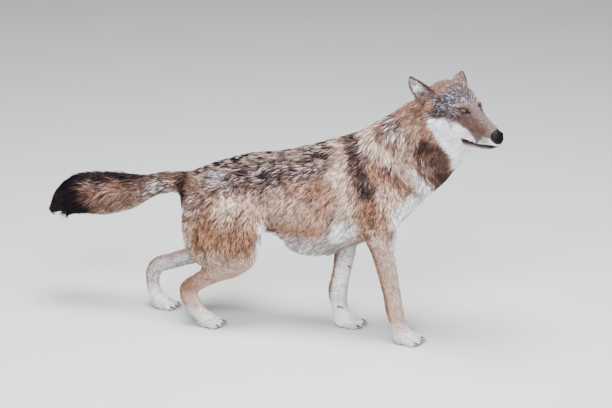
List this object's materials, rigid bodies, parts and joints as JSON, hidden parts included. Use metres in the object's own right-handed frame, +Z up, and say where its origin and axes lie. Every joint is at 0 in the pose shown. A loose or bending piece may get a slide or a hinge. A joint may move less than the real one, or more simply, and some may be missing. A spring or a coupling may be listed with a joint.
{
  "type": "wolf",
  "caption": "Life-size still model of a timber wolf walking with its head low and turned to its right, tail trailing behind, standing on its four paws.",
  "frame": {"origin": "middle of the bounding box in plan, on the floor under the paws", "axes": "+X from the tail towards the chest, +Y to the wolf's left, +Z up"},
  "size_m": [1.5126, 0.2798, 0.8756],
  "materials": {
    "head_coat": "short fur, grizzled tan and grey",
    "jaw_coat": "short white fur",
    "neck_coat": "long fur, grizzled tan and brown",
    "trunk_coat": "long fur, dark saddle over tan flanks",
    "tail_coat": "bushy fur with a black tip",
    "leg_coat": "short tan and white fur",
    "ear_coat": "short rust fur, white hair inside",
    "nose": "moist black skin",
    "eye": "amber, glossy",
    "claw": "dark horn"
  },
  "bodies": {
    "root": {"ear_left": "ear_coat", "ear_right": "ear_coat", "eye_left": "eye", "eye_right": "eye", "foreleg_left_forearm": "leg_coat", "foreleg_left_upper": "leg_coat", "foreleg_right_forearm": "leg_coat", "foreleg_right_upper": "leg_coat", "forepaw_left": "leg_coat", "forepaw_left_claw_1": "claw", "forepaw_left_claw_2": "claw", "forepaw_left_claw_3": "claw", "forepaw_left_claw_4": "claw", "forepaw_left_dewclaw": "claw", "forepaw_right": "leg_coat", "forepaw_right_claw_1": "claw", "forepaw_right_claw_2": "claw", "forepaw_right_claw_3": "claw", "forepaw_right_claw_4": "claw", "forepaw_right_dewclaw": "claw", "head": "head_coat", "hindleg_left_shank": "leg_coat", "hindleg_left_upper": "leg_coat", "hindleg_right_shank": "leg_coat", "hindleg_right_upper": "leg_coat", "hindpaw_left": "leg_coat", "hindpaw_left_claw_1": "claw", "hindpaw_left_claw_2": "claw", "hindpaw_left_claw_3": "claw", "hindpaw_left_claw_4": "claw", "hindpaw_right": "leg_coat", "hindpaw_right_claw_1": "claw", "hindpaw_right_claw_2": "claw", "hindpaw_right_claw_3": "claw", "hindpaw_right_claw_4": "claw", "lower_jaw": "jaw_coat", "neck": "neck_coat", "nose": "nose", "tail": "tail_coat", "trunk": "trunk_coat"}
  },
  "joints": []
}
